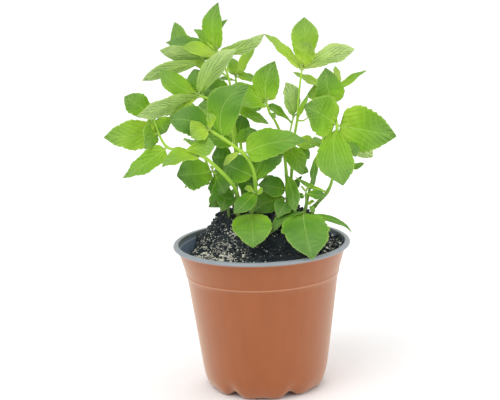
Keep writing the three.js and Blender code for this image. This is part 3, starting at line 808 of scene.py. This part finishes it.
class Growth:
    """The points, faces, paints and marks of one leafy stem as it grows."""

    def __init__(self):
        self.points, self.faces, self.slots = [], [], []
        self.blade, self.tone, self.from_rib = [], [], []
        self.count = 0

    def add(self, points, faces, slots, blade=None, tone=0.5, from_rib=0):
        """One more part: its points, its faces with their paints, and the marks that its points carry."""
        points = np.asarray(points)
        self.points.append(points)
        self.faces += [tuple(corner + self.count for corner in face) for face in faces]
        self.slots += list(slots)
        self.blade.append(np.zeros((len(points), 3)) if blade is None else blade)
        self.tone.append(np.full(len(points), float(tone)))
        self.from_rib.append(np.zeros(len(points)) + from_rib)
        self.count += len(points)

    def tube(self, centres, radii, sides, slot, tone=0.5, square=False):
        """A closed tube through the centres, round or with the rounded square section of a mint's stem."""
        centres = np.asarray(centres)
        ahead = np.gradient(centres, axis=0)
        side = np.array([1.0, 0, 0])
        angle = (np.arange(sides) + 0.5) * 2 * math.pi / sides
        shape = np.ones(sides)
        if square:
            shape = 0.72 / (np.abs(np.cos(angle)) ** 4 + np.abs(np.sin(angle)) ** 4) ** 0.25
        rings = []
        for centre, forward, radius in zip(centres, ahead, radii):
            forward = unit(forward)
            side = side - forward * side.dot(forward)
            side = unit(side) if np.linalg.norm(side) > 1e-6 else unit(np.cross(forward, [0, 0, 1.0]))
            other = np.cross(forward, side)
            circle = np.outer(np.cos(angle) * shape, side) + np.outer(np.sin(angle) * shape, other)
            rings.append(centre + circle * radius)
        faces = []
        for row in range(len(rings) - 1):
            for k in range(sides):
                here = row * sides
                after = (k + 1) % sides
                faces.append((here + k, here + after, here + sides + after, here + sides + k))
        last = (len(rings) - 1) * sides
        faces.append(tuple(range(sides - 1, -1, -1)))
        faces.append(tuple(range(last, last + sides)))
        self.add(np.concatenate(rings), faces, [slot] * len(faces), tone=tone)

    def leaf(self, base, tip, width, turn, arch, broadest, bend, tone, draw):
        """A leaf: its toothed, folded and quilted blade, then its stalk and midrib."""
        chord = tip - base
        length = np.linalg.norm(chord)
        axis = chord / length
        up = leaf_facing(axis, turn)
        across = np.cross(axis, up)
        bend = bend if across @ [0.3, 0, 1] > 0 else -bend
        teeth = int(np.clip(round(length / tooth_pitch), fewest_teeth, most_teeth))
        in_tooth = np.tile(tooth_rows, teeth)
        rows = (np.repeat(np.arange(teeth), len(tooth_rows)) + in_tooth) / teeth
        jags = np.repeat(draw.uniform(*tooth_jags, teeth), len(tooth_rows))
        jags = np.append(jags, 1)[:, None]
        rows = np.append(rows, tip_row)
        in_tooth = np.append(in_tooth, tip_in_tooth)
        stalk = np.clip(stalk_length / length, 0.05, 0.3)
        curl = draw.uniform(0, most_curl)
        waves = draw.uniform(*wave_counts)
        phases = draw.uniform(0, 1, 2)
        sway = (4 * bend + draw.uniform(-0.02, 0.02)) * length

        u, v = np.meshgrid(rows, columns, indexing="ij")
        away = np.abs(v)
        half = np.maximum(width * half_width(u, broadest), 0.25 + 0.5 * (1 - u))
        notch = 1 - tooth_depth * jags * (1 - in_tooth[:, None]) * away ** 6
        reach = away * half * notch
        share = stalk + (1 - stalk) * u
        swell = np.sin(math.pi * np.clip(u, 0, 1))
        phase = np.where(v < 0, phases[0], phases[1])
        # A leaf whose upper side is turned to the front has closer veins than one that lies or looks away.
        pitch = max(vein_gap, length / vein_pairs) if turn > 0 else sparse_gap
        slant = (vein_slant if turn > 0 else sparse_slant) * draw.uniform(0.85, 1.25)
        vein_mark = (u * length - slant * reach - 0.3 * reach * away) / pitch
        vein_mark = vein_mark + phase + 0.25 * np.sin(2 * math.pi * (1.3 * u + phase))
        quilt = np.sin(math.pi * vein_mark) ** 2 - 0.6
        quilt = quilt * smooth(away, 0.04, 0.3) * (1 - 0.7 * smooth(away, 0.7, 1))
        lift = half * (math.sin(blade_fold) * away - curl * v * v)
        lift = lift + wave_depth * width * swell * v * v * np.sin(2 * math.pi * (waves * u + phase))
        lift = lift + quilt_depth * width * quilt - groove_depth * np.exp(-((reach / groove_half) ** 2))
        bow = share * (1 - share)
        lift = lift + 4 * arch * length * bow
        aside = np.sign(v) * reach * math.cos(blade_fold) + sway * bow
        ahead = np.clip(0.07 * length, 0, 4) * swell * away ** 1.4
        middle = base + chord * share[..., None] + axis * ahead[..., None]
        middle = middle + up * lift[..., None] + across * aside[..., None]
        half_blade = up * blade_thick / 2
        points = np.concatenate([middle + half_blade, middle - half_blade]).reshape(-1, 3)

        faces, slots = blade_faces(*u.shape)
        blade = np.stack([u, v, vein_mark], 2).reshape(-1, 3)
        from_rib = np.concatenate([reach.ravel(), reach.ravel()])
        self.add(points, faces, slots, np.concatenate([blade, blade]), tone, from_rib)
        self.midrib(base, chord, up, across, arch, sway, stalk, tone)

    def midrib(self, base, chord, up, across, arch, sway, stalk, tone):
        """A leaf's stalk and the raised back of its midrib, one tube that thins towards the tip."""
        length = np.linalg.norm(chord)
        marks = np.append([0, 0.03, 0.06, 0.1], np.linspace(0.15, 0.86, 8))
        bow = marks * (1 - marks)
        centres = base + np.outer(marks, chord) + np.outer(4 * arch * length * bow, up)
        centres = centres + np.outer(sway * bow, across)
        centres = centres - up * (rib_drop * smooth(marks, 0, stalk))[:, None]
        in_blade = smooth(marks, 0.5 * stalk, 1.6 * stalk)
        radii = rib_radius * (1 - marks) + rib_end_radius + (stalk_radius - rib_radius) * (1 - in_blade)
        self.tube(centres, radii * min(1, length / full_rib_length), rib_sides, 1, tone)

    def stem(self, line, girth, nodes, draw):
        """A square stem along its line, thicker at the nodes that bear leaves, with its hairs."""
        marks = np.linspace(0, len(line) - 1, (len(line) - 1) * stem_steps + 1)
        centres = np.array([along_line(line, mark) for mark in marks])
        radii = np.interp(marks, [0, len(line) - 1], girth)
        for node in nodes:
            apart = np.linalg.norm(centres - along_line(line, node), axis=1)
            radii = radii * (1 + node_swell * np.exp(-((apart / node_reach) ** 2)))
        radii[-1] *= stem_end_thins
        self.tube(centres, radii, stem_sides, 2, square=True)
        self.hairs(centres, radii, draw)

    def hairs(self, centres, radii, draw):
        """Fine hairs that stand out from the stem, three-sided and pointed."""
        steps = np.linalg.norm(np.diff(centres, axis=0), axis=1)
        count = int(steps.sum() * hairs_per_mm)
        where = draw.uniform(0, len(centres) - 1.001, count)
        i = where.astype(int)
        share = (where - i)[:, None]
        spots = centres[i] * (1 - share) + centres[i + 1] * share
        radius = np.interp(where, np.arange(len(radii)), radii)
        forward = centres[i + 1] - centres[i]
        forward = forward / np.linalg.norm(forward, axis=1)[:, None]
        out = draw.normal(0, 1, (count, 3))
        out = out - forward * (out * forward).sum(1)[:, None]
        out = out / np.linalg.norm(out, axis=1)[:, None]
        side = np.cross(forward, out) * hair_half
        along = forward * hair_half
        foot = spots + out * (radius * hair_root)[:, None]
        tip = foot + (out + 0.5 * forward * draw.uniform(-1, 1, (count, 1))) * hair_length
        corners = [foot + side, foot - side + along, foot - side - along, tip]
        points = np.stack(corners, 1).reshape(-1, 3)
        hair = [(0, 1, 3), (1, 2, 3), (2, 0, 3), (0, 2, 1)]
        starts = range(0, count * 4, 4)
        faces = [tuple(first + corner for corner in face) for first in starts for face in hair]
        self.add(points, faces, [2] * len(faces))

    def sprig(self, at, ahead, draw):
        """Tiny young leaves in crossed pairs that still point the way the stem grows."""
        ahead = unit(ahead)
        side = unit(np.cross(ahead, unit(draw.normal(0, 1, 3))))
        other = np.cross(ahead, side)
        for pair, tone in enumerate(sprig_tones):
            outwards = side if pair % 2 == 0 else other
            reach = sprig_size * (1 - sprig_shrink * pair)
            for way in (-1, 1):
                tip = at + (ahead * sprig_ahead + outwards * way * draw.uniform(*sprig_spread)) * reach
                self.leaf(at, tip, reach * sprig_width, *sprig_form, tone, draw)


# A stem has the points of its line, its girth (half its diagonal at foot and tip) and its leaves: the line's
# point that a leaf springs from, the leaf's tip, its width, the turn of its face, how far its midrib arches,
# where along it the leaf is broadest, how far the midrib bends sideways, and the leaf's tone, from 0 for a
# dark leaf to 1 for a bright one: partly how old the leaf is, old leaves dark and young ones bright, and
# partly painted shade, lower for leaves that lie in shade deep inside the plant. Lengths are in millimetres.
shoots = {}
shoots["shoot_arch"] = [{
    "line": [(-8, -12, 108), (-7, -12, 131), (-4, -13, 139), (-3, -15, 149), (-4, -21, 165),
             (-9, -26, 177), (-19, -31, 187), (-33, -36, 198)],
    "girth": (2.2, 1.2),
    "leaves": [
        (1.1, (-6, -50, 116), 31, 0, 0.08, 0.4, 0, 0.4),
        (3, (-19, -32, 137), 14, 30, 0.06, 0.45, -0.05, 0.28),
        (3, (-11, -19, 152), 7, 40, 0.1, 0.45, 0, 0.75),
        (3, (2, -18, 149), 7, 40, 0.1, 0.45, 0, 0.75),
        (3.5, (18, -15, 178), 22, 70, 0, 0.5, 0.2, 0.3),
        (3.7, (-26, -12, 170), 22, 70, 0, 0.45, 0, 0.3),
        (5.2, (35, -18, 185), 24, 60, 0, 0.22, 0.08, 0.42),
        (5.4, (-25, -30, 171), 7, 30, 0.1, 0.4, 0, 0.9),
        (6.4, (-5, -26, 227), 26, 70, 0.04, 0.42, 0.25, 0.34),
        (6.8, (-61, -32, 206), 24, 60, 0.04, 0.5, 0.1, 0.26),
        (7, (-34, -40, 211), 11, 110, 0.1, 0.5, 0, 0.7),
        (7, (-46, -45, 195), 18, 50, 0.1, 0.5, 0.14, 0.8),
    ],
}]
shoots["shoot_low_left"] = [{
    "line": [(-16, -9, 108), (-16, -9, 129), (-16, -16, 147), (-22, -27, 161), (-36, -38, 178),
             (-43, -40, 182), (-55, -38, 185), (-64, -34, 187), (-70, -24, 195), (-74, -12, 204)],
    "girth": (2, 0.9),
    "leaves": [
        (4.5, (-67, -50, 176), 20, 20, 0.12, 0.4, 0, 0.66),
        (5.8, (-30, -46, 189), 15, 60, 0.04, 0.62, 0, 0.62),
        (7, (-95, -44, 168), 18, 40, 0, 0.27, -0.03, 0.5),
        (8, (-108, -33, 195), 24, 60, 0, 0.34, -0.01, 0.65),
        (9, (-79, -40, 187), 16, 60, 0.06, 0.45, 0, 0.55),
        (9, (-65, -14, 194), 20, 80, 0.04, 0.45, 0, 0.55),
        (9, (-94, -10, 220), 19, 60, 0, 0.5, 0.04, 0.5),
    ],
}]
shoots["shoot_tall_left"] = [{
    "line": [(-11, 10, 106), (-11, 10, 129), (-14, 8, 153), (-16, 5, 183), (-18, 2, 213),
             (-20, 0, 231), (-27, 0, 248)],
    "girth": (2, 0.9),
    "leaves": [
        (6, (-25, 6, 283), 16, 10, 0.03, 0.36, -0.11, 0.5),
        (6, (-52, -14, 254), 13, 60, 0.04, 0.35, 0, 0.76),
        (5.9, (-68, 0, 251), 17, -60, 0, 0.5, -0.05, 0.6),
        (6, (-58, 26, 268), 17, 60, 0, 0.65, -0.22, 0.5),
        (5.6, (-64, 12, 255), 20, 30, 0.04, 0.5, 0.06, 0.3),
        (6, (-43, 0, 265), 11, 30, 0.02, 0.5, 0, 0.5),
        (6, (-19, 12, 270), 6, 20, 0, 0.65, -0.2, 0.5),
        (6, (7, -6, 261), 12, -60, 0, 0.4, -0.12, 0.6),
        (4.2, (-40, 18, 218), 21, 50, 0.1, 0.4, 0, 0.4),
        (4, (4, 18, 214), 19, 40, 0.1, 0.4, 0, 0.45),
        (3.8, (8, -6, 196), 10, 30, 0.02, 0.45, 0, 0.55),
        (3, (-10, 12, 201), 15, 50, 0.05, 0.4, 0, 0.3),
    ],
}, {
    "line": [(-20, 0, 230), (-28, 0, 236), (-37, 0, 242)],
    "girth": (1, 0.8),
    "leaves": [
        (2, (-82, 4, 229), 13, -60, 0, 0.5, 0.04, 0.6),
        (2, (-43, -8, 240), 9, 50, 0.05, 0.45, -0.15, 0.85),
    ],
}]
shoots["shoot_mid_left"] = [{
    "line": [(-17, -2, 106), (-17, -2, 130), (-17, -2, 155), (-17, -4, 181), (-22, -8, 206),
             (-32, -9, 215), (-42, -9, 219)],
    "girth": (1.9, 0.9),
    "leaves": [
        (6, (-68, -13, 238), 18, 60, 0, 0.48, -0.07, 0.55),
        (5.8, (-84, -37, 210), 19, -60, 0, 0.45, -0.01, 0.6),
        (6, (-13, -14, 252), 17, -60, 0, 0.42, 0.08, 0.5),
        (6, (-60, -18, 205), 10, 30, 0.1, 0.4, 0, 0.8),
        (5.6, (-44, -2, 237), 17, 60, 0.03, 0.5, 0, 0.4),
        (5, (-25, 0, 220), 10, 50, 0.1, 0.4, 0, 0.5),
        (3, (-40, -8, 188), 14, 50, 0.1, 0.4, 0, 0.4),
        (1.7, (-25, 6, 137), 14, 50, 0.03, 0.45, 0, 0.25),
        (2, (-1, -9, 152), 17, 60, 0, 0.45, 0, 0.15),
        (3.1, (0, -10, 192), 12, 50, 0.05, 0.4, 0, 0.4),
        (2.6, (-34, -4, 173), 23, 60, 0.04, 0.5, 0, 0.3),
        (3.3, (-39, 0, 199), 17, 60, 0.03, 0.5, 0, 0.35),
    ],
}]
shoots["shoot_centre"] = [{
    "line": [(20, 2, 106), (20, 2, 129), (20, 3, 149), (19, 3, 168), (17, 3, 185), (13, 2, 196),
             (9, 1, 203), (7, 0, 210)],
    "girth": (2, 0.9),
    "leaves": [
        (7, (14, 4, 240), 21, 60, 0, 0.34, -0.11, 0.5),
        (7, (-21, -3, 223), 16, 50, 0.04, 0.45, 0.05, 0.5),
        (6.7, (-16, -13, 211), 14, 30, 0.12, 0.4, 0, 0.55),
        (6, (13, -4, 200), 4, 40, 0.2, 0.5, 0, 0.4),
        (3.7, (24, -12, 178), 9, 50, 0.15, 0.5, 0.1, 0.72),
        (3.7, (11, -4, 179), 7, 50, 0.1, 0.5, 0, 0.72),
        (3.6, (31, -10, 159), 15, 50, 0.04, 0.45, 0.1, 0.5),
        (4, (-4, -1, 171), 25, 60, 0.06, 0.4, 0, 0.22),
        (2.4, (25, -20, 134), 13, 50, 0.04, 0.5, 0.08, 0.38),
        (1.8, (-1, -2, 151), 19, 50, 0.04, 0.4, 0, 0.22),
        (1.5, (-5, -6, 132), 19, 50, 0.06, 0.5, 0.08, 0.35),
        (1.3, (12, -24, 131), 15, 20, 0.15, 0.5, 0, 0.25),
    ],
}]
shoots["shoot_upright"] = [{
    "line": [(22, 10, 106), (22, 10, 128), (23, 10, 148), (26, 9, 180), (29, 5, 198), (30, 5, 212),
             (33, 4, 233)],
    "girth": (1.9, 0.9),
    "leaves": [
        (6, (7, 0, 260), 12, 40, 0, 0.35, 0.05, 0.8),
        (6, (36, 10, 270), 21, 30, 0, 0.53, 0.02, 0.66),
        (6, (39, 0, 253), 22, 80, 0.05, 0.55, 0, 0.76),
        (6, (71, 0, 247), 17, -65, 0, 0.54, 0.05, 0.75),
        (4, (37, 4, 215), 6, 40, 0.05, 0.4, -0.1, 0.6),
        (3, (41, 0, 177), 12, 50, 0.05, 0.45, 0.05, 0.7),
        (2.8, (37, 8, 167), 10, 50, 0.1, 0.5, 0.1, 0.5),
        (2.4, (36, 4, 158), 8, 50, 0.05, 0.5, 0, 0.45),
        (1.3, (31, 4, 155), 10, 50, 0.03, 0.5, 0.05, 0.35),
    ],
}, {
    "line": [(26, 9, 178), (23, 9, 184), (24, 8, 190), (25, 8, 194), (26, 7, 198)],
    "girth": (0.9, 0.7),
    "leaves": [
        (4, (21, 0, 225), 16, -70, 0, 0.42, 0.1, 0.5),
        (3, (7, 5, 208), 10, 40, 0.03, 0.6, 0.04, 0.5),
    ],
}, {
    "line": [(29, 5, 196), (33, 4, 196), (36, 2, 198)],
    "girth": (0.8, 0.6),
    "leaves": [],
}]
shoots["shoot_right"] = [{
    "line": [(38, 0, 106), (38, 0, 129), (41, -1, 135), (49, -2, 144), (53, -4, 155), (56, -7, 175),
             (57, -3, 193), (55, 6, 208), (57, 10, 216)],
    "girth": (1.9, 0.9),
    "leaves": [
        (6, (33, -16, 210), 32, 80, 0, 0.3, 0.03, 0.5),
        (6, (99, -12, 185), 36, 80, 0, 0.27, 0, 0.52),
        (5.9, (59, -29, 154), 29, 0, 0.14, 0.56, -0.12, 0.48),
        (5.8, (69, -17, 172), 14, 15, 0, 0.5, 0.1, 0.36),
        (5.7, (83, 6, 167), 16, -60, 0, 0.6, 0, 0.7),
        (6.8, (50, 3, 234), 25, 80, 0, 0.3, -0.05, 0.45),
        (8, (58, 20, 233), 9, 50, 0.05, 0.5, -0.05, 0.95),
        (8, (80, 12, 230), 10, 20, 0, 0.33, 0.03, 0.6),
        (8, (27, 16, 230), 11, 20, 0, 0.42, -0.03, 0.85),
        (7.8, (36, 13, 212), 15, 50, 0.05, 0.42, 0.05, 0.75),
        (4.4, (76, -5, 165), 6, 40, 0, 0.6, -0.1, 0.55),
        (3, (26, -6, 157), 4, 50, 0, 0.4, -0.08, 0.5),
        (1.6, (36, -16, 133), 6, 50, 0, 0.5, 0, 0.45),
    ],
}]
shoots["shoot_back_centre"] = [{
    "line": [(-12, 28, 106), (-12, 28, 127), (-11, 28, 150), (-13, 30, 175), (-14, 31, 200),
             (-15, 30, 226)],
    "girth": (1.9, 0.9),
    "leaves": [
        (5, (-17, 38, 239), 9, 10, 0.05, 0.4, 0, 0.6),
        (5, (0, 33, 247), 9, 40, 0, 0.45, 0.06, 0.75),
        (5, (0, 38, 223), 10, 40, 0.03, 0.4, 0, 0.6),
        (4.9, (-28, 24, 226), 6, 20, 0.03, 0.4, 0, 0.4),
        (5, (-13, 58, 231), 16, 0, 0.1, 0.35, 0, 0.6),
        (4, (-44, 42, 204), 22, 40, 0.1, 0.35, 0, 0.45),
        (4, (4, 46, 208), 20, 40, 0.1, 0.35, 0, 0.4),
        (3, (-14, 66, 182), 25, 0, 0.12, 0.35, 0, 0.45),
        (2, (-35, 50, 152), 22, 40, 0.1, 0.35, 0, 0.35),
        (2, (4, 44, 158), 22, 40, 0.1, 0.35, 0, 0.35),
        (1.6, (-8, 62, 138), 22, 0, 0.15, 0.35, 0, 0.4),
    ],
}]
shoots["shoot_back_left"] = [{
    "line": [(-27, 20, 106), (-28, 21, 127), (-35, 26, 150), (-42, 32, 172), (-47, 38, 190)],
    "girth": (1.8, 0.9),
    "leaves": [
        (4, (-66, 50, 196), 20, 40, 0.1, 0.35, 0, 0.5),
        (4, (-36, 66, 200), 19, 0, 0.1, 0.35, 0, 0.55),
        (4, (-50, 42, 207), 10, 0, 0.05, 0.35, 0, 0.7),
        (3, (-52, 62, 172), 21, 0, 0.12, 0.35, 0, 0.5),
        (2, (-53, 22, 152), 18, 40, 0.1, 0.35, 0, 0.35),
        (2, (-57, 42, 141), 18, 20, 0.1, 0.35, 0, 0.4),
    ],
}]
shoots["shoot_back_right"] = [{
    "line": [(34, 22, 106), (34, 22, 127), (40, 27, 150), (46, 30, 170), (52, 32, 190)],
    "girth": (1.8, 0.9),
    "leaves": [
        (4, (50, 62, 186), 16, 20, 0.1, 0.4, 0, 0.5),
        (4, (36, 56, 200), 19, 0, 0.1, 0.35, 0, 0.55),
        (4, (54, 38, 210), 10, 0, 0.05, 0.35, 0, 0.7),
        (3, (54, 66, 166), 21, 0, 0.12, 0.35, 0, 0.45),
        (3, (60, 40, 172), 15, 40, 0.1, 0.35, 0, 0.4),
        (2.9, (40, 18, 144), 7, 60, 0, 0.5, 0.08, 0.35),
    ],
}]
shoots["shoot_short_left"] = [{
    "line": [(-23, -4, 106), (-23, -5, 129), (-25, -7, 145), (-29, -10, 159), (-33, -12, 164)],
    "girth": (1.6, 0.9),
    "leaves": [
        (4, (-59, -18, 163), 29, 50, 0.03, 0.45, -0.03, 0.38),
        (3.4, (-37, -22, 140), 22, 60, 0, 0.5, -0.34, 0.25),
        (3.8, (-25, -18, 149), 22, 70, 0.05, 0.5, 0, 0.22),
        (2, (-28, -24, 137), 12, 30, 0.1, 0.35, 0, 0.2),
    ],
}]
shoots["shoot_front_right"] = [{
    "line": [(31, -12, 106), (31, -12, 128), (33, -12, 138), (33, -12, 146)],
    "girth": (1.6, 0.9),
    "leaves": [
        (1.2, (35, -61, 109), 36, 0, 0.14, 0.46, -0.05, 0.3),
        (3, (47, -16, 144), 9, 40, 0, 0.45, -0.03, 0.3),
        (2.8, (28, -14, 144), 6, 40, 0, 0.45, 0, 0.3),
        (1.05, (66, -6, 114), 6, 40, 0.16, 0.35, 0, 0.3),
        (1.3, (6, -32, 121), 14, 0, 0.12, 0.45, 0, 0.15),
        (1.8, (39, -14, 140), 5, 30, 0.05, 0.5, 0, 0.7),
    ],
}]

for number, (node, stems) in enumerate(shoots.items()):
    draw = np.random.default_rng(leaf_seed + number)
    growth = Growth()
    for stem in stems:
        line, leaves = stem["line"], stem["leaves"]
        growth.stem(line, stem["girth"], sorted({leaf[0] for leaf in leaves}), draw)
        for mark, tip, *form in leaves:
            growth.leaf(along_line(line, mark), np.array(tip, float), *form, draw)
        end = along_line(line, len(line) - 1)
        growth.sprig(end, end - along_line(line, len(line) - 1.3), draw)
    marks = {
        "blade": np.concatenate(growth.blade), "tone": np.concatenate(growth.tone),
        "from_rib": np.concatenate(growth.from_rib),
    }
    points = np.concatenate(growth.points)
    paints = [leaf_upper, leaf_lower, stem_skin]
    shoot = new_piece(node + "_leafy", points, growth.faces, paints, growth.slots, marks)
    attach(shoot, "root")
    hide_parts(node)
